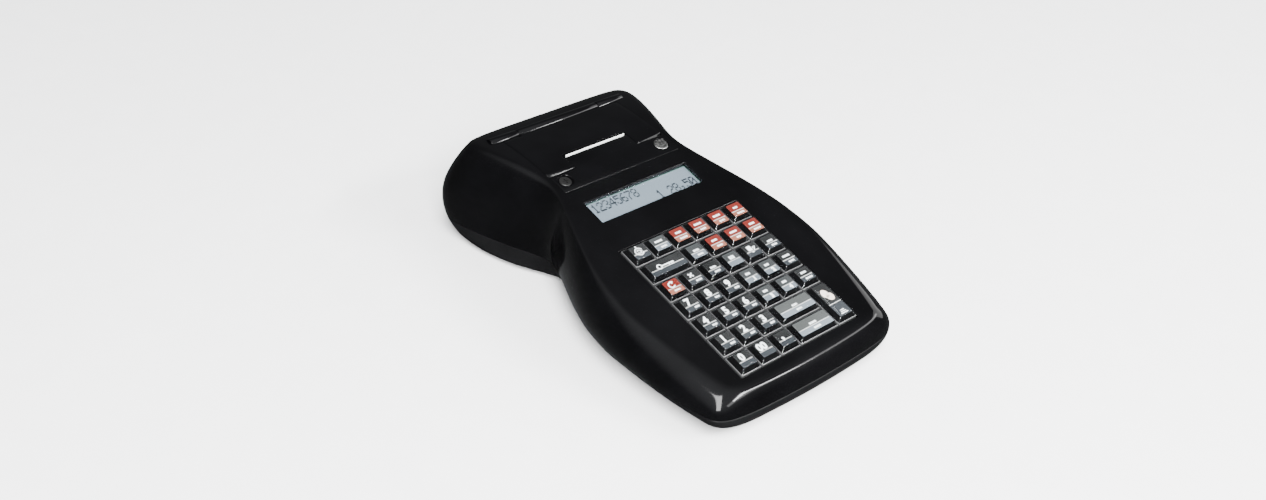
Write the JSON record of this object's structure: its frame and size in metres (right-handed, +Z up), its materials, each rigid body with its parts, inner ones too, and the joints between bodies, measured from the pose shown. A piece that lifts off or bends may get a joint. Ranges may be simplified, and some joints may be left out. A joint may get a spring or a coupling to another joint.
{
  "type": "portable fare terminal",
  "caption": "Handheld electronic fare terminal and cash register with a key grid, a two-line display and a receipt printer under a hinged paper lid.",
  "frame": {"origin": "middle of the object's footprint, on the surface that it stands on", "axes": "+Z up, +Y from the keys towards the printer head, +X to the user's right"},
  "size_m": [0.1358, 0.2146, 0.0591],
  "materials": {
    "gloss_black": "high gloss",
    "dark_shell": "fine satin",
    "window": "clear",
    "display_panel": "satin",
    "board": "satin",
    "silicone": "matt",
    "steel": "brushed",
    "bright_steel": "polished",
    "head_ceramic": "satin",
    "platen_rubber": "ground",
    "gear_plastic": "satin",
    "brass": "satin",
    "receipt_paper": "smooth",
    "cell_sleeve": "satin",
    "jack_plastic": "satin",
    "foot_rubber": "matt",
    "key_dark": "gloss",
    "key_grey": "gloss",
    "key_light": "gloss",
    "key_red": "gloss"
  },
  "bodies": {
    "terminal": {"upper_housing": "gloss_black", "lower_housing": "dark_shell", "slot_panel": "gloss_black", "hinge_pin": "steel", "display_window": "window", "lcd_module": "display_panel", "main_board": "board", "key_mat": "silicone", "printer_frame": "steel", "thermal_head": "head_ceramic", "stepper_motor": "steel", "paper_web": "receipt_paper", "seal_screw": "bright_steel", "housing_screws": "steel", "battery_pack": "cell_sleeve", "power_jack": "jack_plastic", "feet": "foot_rubber"},
    "lid": {"paper_lid": "gloss_black"},
    "platen": {"platen_roller": "platen_rubber", "platen_gear": "gear_plastic"},
    "pinion": {"motor_pinion": "brass"},
    "roll": {"paper_roll": "receipt_paper"},
    "key_mode_cap": {"key_mode": "key_dark"},
    "key_tariff_cap": {"key_tariff": "key_grey"},
    "key_fare_1_cap": {"key_fare_1": "key_red"},
    "key_fare_2_cap": {"key_fare_2": "key_red"},
    "key_fare_3_cap": {"key_fare_3": "key_red"},
    "key_fare_4_cap": {"key_fare_4": "key_red"},
    "key_lock_cap": {"key_lock": "key_dark"},
    "key_shift_cap": {"key_shift": "key_grey"},
    "key_fare_5_cap": {"key_fare_5": "key_red"},
    "key_fare_6_cap": {"key_fare_6": "key_red"},
    "key_fare_7_cap": {"key_fare_7": "key_red"},
    "key_clear_cap": {"key_clear": "key_red"},
    "key_multiply_cap": {"key_multiply": "key_dark"},
    "key_discount_cap": {"key_discount": "key_dark"},
    "key_lookup_cap": {"key_lookup": "key_grey"},
    "key_feed_cap": {"key_feed": "key_dark"},
    "key_report_cap": {"key_report": "key_dark"},
    "key_7_cap": {"key_7": "key_dark"},
    "key_8_cap": {"key_8": "key_dark"},
    "key_9_cap": {"key_9": "key_dark"},
    "key_zone_1_cap": {"key_zone_1": "key_grey"},
    "key_zone_2_cap": {"key_zone_2": "key_grey"},
    "key_card_cap": {"key_card": "key_dark"},
    "key_4_cap": {"key_4": "key_dark"},
    "key_5_cap": {"key_5": "key_dark"},
    "key_6_cap": {"key_6": "key_dark"},
    "key_zone_3_cap": {"key_zone_3": "key_grey"},
    "key_zone_4_cap": {"key_zone_4": "key_grey"},
    "key_cheque_cap": {"key_cheque": "key_dark"},
    "key_1_cap": {"key_1": "key_dark"},
    "key_2_cap": {"key_2": "key_dark"},
    "key_3_cap": {"key_3": "key_dark"},
    "key_subtotal_cap": {"key_subtotal": "key_light"},
    "key_cash_cap": {"key_cash": "key_dark"},
    "key_0_cap": {"key_0": "key_dark"},
    "key_00_cap": {"key_00": "key_dark"},
    "key_point_cap": {"key_point": "key_dark"},
    "key_total_cap": {"key_total": "key_light"}
  },
  "joints": [
    {"name": "lid_hinge", "type": "hinge", "parent": "terminal", "child": "lid", "pos_m": [0, 0.08428, 0.0559], "axis": [-1, 0, 0], "range_deg": [0, 95]},
    {"name": "platen_spin", "type": "hinge", "parent": "terminal", "child": "platen", "pos_m": [0, 0.06093, 0.04589], "axis": [1, 0, 0], "continuous": true},
    {"name": "pinion_spin", "type": "hinge", "parent": "terminal", "child": "pinion", "pos_m": [0, 0.05389, 0.04132], "axis": [1, 0, 0], "continuous": true},
    {"name": "roll_spin", "type": "hinge", "parent": "terminal", "child": "roll", "pos_m": [0, 0.07701, 0.02959], "axis": [1, 0, 0], "continuous": true},
    {"name": "key_mode_press", "type": "slide", "parent": "terminal", "child": "key_mode_cap", "axis": [0, 0.225, -0.9744], "range_m": [0, 0.0016], "stiffness_N_per_m": 400},
    {"name": "key_tariff_press", "type": "slide", "parent": "terminal", "child": "key_tariff_cap", "axis": [0, 0.225, -0.9744], "range_m": [0, 0.0016], "stiffness_N_per_m": 400},
    {"name": "key_fare_1_press", "type": "slide", "parent": "terminal", "child": "key_fare_1_cap", "axis": [0, 0.225, -0.9744], "range_m": [0, 0.0016], "stiffness_N_per_m": 400},
    {"name": "key_fare_2_press", "type": "slide", "parent": "terminal", "child": "key_fare_2_cap", "axis": [0, 0.225, -0.9744], "range_m": [0, 0.0016], "stiffness_N_per_m": 400},
    {"name": "key_fare_3_press", "type": "slide", "parent": "terminal", "child": "key_fare_3_cap", "axis": [0, 0.225, -0.9744], "range_m": [0, 0.0016], "stiffness_N_per_m": 400},
    {"name": "key_fare_4_press", "type": "slide", "parent": "terminal", "child": "key_fare_4_cap", "axis": [0, 0.225, -0.9744], "range_m": [0, 0.0016], "stiffness_N_per_m": 400},
    {"name": "key_lock_press", "type": "slide", "parent": "terminal", "child": "key_lock_cap", "axis": [0, 0.225, -0.9744], "range_m": [0, 0.0016], "stiffness_N_per_m": 400},
    {"name": "key_shift_press", "type": "slide", "parent": "terminal", "child": "key_shift_cap", "axis": [0, 0.225, -0.9744], "range_m": [0, 0.0016], "stiffness_N_per_m": 400},
    {"name": "key_fare_5_press", "type": "slide", "parent": "terminal", "child": "key_fare_5_cap", "axis": [0, 0.225, -0.9744], "range_m": [0, 0.0016], "stiffness_N_per_m": 400},
    {"name": "key_fare_6_press", "type": "slide", "parent": "terminal", "child": "key_fare_6_cap", "axis": [0, 0.225, -0.9744], "range_m": [0, 0.0016], "stiffness_N_per_m": 400},
    {"name": "key_fare_7_press", "type": "slide", "parent": "terminal", "child": "key_fare_7_cap", "axis": [0, 0.225, -0.9744], "range_m": [0, 0.0016], "stiffness_N_per_m": 400},
    {"name": "key_clear_press", "type": "slide", "parent": "terminal", "child": "key_clear_cap", "axis": [0, 0.225, -0.9744], "range_m": [0, 0.0016], "stiffness_N_per_m": 400},
    {"name": "key_multiply_press", "type": "slide", "parent": "terminal", "child": "key_multiply_cap", "axis": [0, 0.225, -0.9744], "range_m": [0, 0.0016], "stiffness_N_per_m": 400},
    {"name": "key_discount_press", "type": "slide", "parent": "terminal", "child": "key_discount_cap", "axis": [0, 0.225, -0.9744], "range_m": [0, 0.0016], "stiffness_N_per_m": 400},
    {"name": "key_lookup_press", "type": "slide", "parent": "terminal", "child": "key_lookup_cap", "axis": [0, 0.225, -0.9744], "range_m": [0, 0.0016], "stiffness_N_per_m": 400},
    {"name": "key_feed_press", "type": "slide", "parent": "terminal", "child": "key_feed_cap", "axis": [0, 0.225, -0.9744], "range_m": [0, 0.0016], "stiffness_N_per_m": 400},
    {"name": "key_report_press", "type": "slide", "parent": "terminal", "child": "key_report_cap", "axis": [0, 0.225, -0.9744], "range_m": [0, 0.0016], "stiffness_N_per_m": 400},
    {"name": "key_7_press", "type": "slide", "parent": "terminal", "child": "key_7_cap", "axis": [0, 0.225, -0.9744], "range_m": [0, 0.0016], "stiffness_N_per_m": 400},
    {"name": "key_8_press", "type": "slide", "parent": "terminal", "child": "key_8_cap", "axis": [0, 0.225, -0.9744], "range_m": [0, 0.0016], "stiffness_N_per_m": 400},
    {"name": "key_9_press", "type": "slide", "parent": "terminal", "child": "key_9_cap", "axis": [0, 0.225, -0.9744], "range_m": [0, 0.0016], "stiffness_N_per_m": 400},
    {"name": "key_zone_1_press", "type": "slide", "parent": "terminal", "child": "key_zone_1_cap", "axis": [0, 0.225, -0.9744], "range_m": [0, 0.0016], "stiffness_N_per_m": 400},
    {"name": "key_zone_2_press", "type": "slide", "parent": "terminal", "child": "key_zone_2_cap", "axis": [0, 0.225, -0.9744], "range_m": [0, 0.0016], "stiffness_N_per_m": 400},
    {"name": "key_card_press", "type": "slide", "parent": "terminal", "child": "key_card_cap", "axis": [0, 0.225, -0.9744], "range_m": [0, 0.0016], "stiffness_N_per_m": 400},
    {"name": "key_4_press", "type": "slide", "parent": "terminal", "child": "key_4_cap", "axis": [0, 0.225, -0.9744], "range_m": [0, 0.0016], "stiffness_N_per_m": 400},
    {"name": "key_5_press", "type": "slide", "parent": "terminal", "child": "key_5_cap", "axis": [0, 0.225, -0.9744], "range_m": [0, 0.0016], "stiffness_N_per_m": 400},
    {"name": "key_6_press", "type": "slide", "parent": "terminal", "child": "key_6_cap", "axis": [0, 0.225, -0.9744], "range_m": [0, 0.0016], "stiffness_N_per_m": 400},
    {"name": "key_zone_3_press", "type": "slide", "parent": "terminal", "child": "key_zone_3_cap", "axis": [0, 0.225, -0.9744], "range_m": [0, 0.0016], "stiffness_N_per_m": 400},
    {"name": "key_zone_4_press", "type": "slide", "parent": "terminal", "child": "key_zone_4_cap", "axis": [0, 0.225, -0.9744], "range_m": [0, 0.0016], "stiffness_N_per_m": 400},
    {"name": "key_cheque_press", "type": "slide", "parent": "terminal", "child": "key_cheque_cap", "axis": [0, 0.225, -0.9744], "range_m": [0, 0.0016], "stiffness_N_per_m": 400},
    {"name": "key_1_press", "type": "slide", "parent": "terminal", "child": "key_1_cap", "axis": [0, 0.225, -0.9744], "range_m": [0, 0.0016], "stiffness_N_per_m": 400},
    {"name": "key_2_press", "type": "slide", "parent": "terminal", "child": "key_2_cap", "axis": [0, 0.225, -0.9744], "range_m": [0, 0.0016], "stiffness_N_per_m": 400},
    {"name": "key_3_press", "type": "slide", "parent": "terminal", "child": "key_3_cap", "axis": [0, 0.225, -0.9744], "range_m": [0, 0.0016], "stiffness_N_per_m": 400},
    {"name": "key_subtotal_press", "type": "slide", "parent": "terminal", "child": "key_subtotal_cap", "axis": [0, 0.225, -0.9744], "range_m": [0, 0.0016], "stiffness_N_per_m": 400},
    {"name": "key_cash_press", "type": "slide", "parent": "terminal", "child": "key_cash_cap", "axis": [0, 0.225, -0.9744], "range_m": [0, 0.0016], "stiffness_N_per_m": 400},
    {"name": "key_0_press", "type": "slide", "parent": "terminal", "child": "key_0_cap", "axis": [0, 0.225, -0.9744], "range_m": [0, 0.0016], "stiffness_N_per_m": 400},
    {"name": "key_00_press", "type": "slide", "parent": "terminal", "child": "key_00_cap", "axis": [0, 0.225, -0.9744], "range_m": [0, 0.0016], "stiffness_N_per_m": 400},
    {"name": "key_point_press", "type": "slide", "parent": "terminal", "child": "key_point_cap", "axis": [0, 0.225, -0.9744], "range_m": [0, 0.0016], "stiffness_N_per_m": 400},
    {"name": "key_total_press", "type": "slide", "parent": "terminal", "child": "key_total_cap", "axis": [0, 0.225, -0.9744], "range_m": [0, 0.0016], "stiffness_N_per_m": 400}
  ],
  "couplings": [
    {"joint": "pinion_spin", "follows": "platen_spin", "ratio": -2.5},
    {"joint": "roll_spin", "follows": "platen_spin", "ratio": 0.27778}
  ]
}
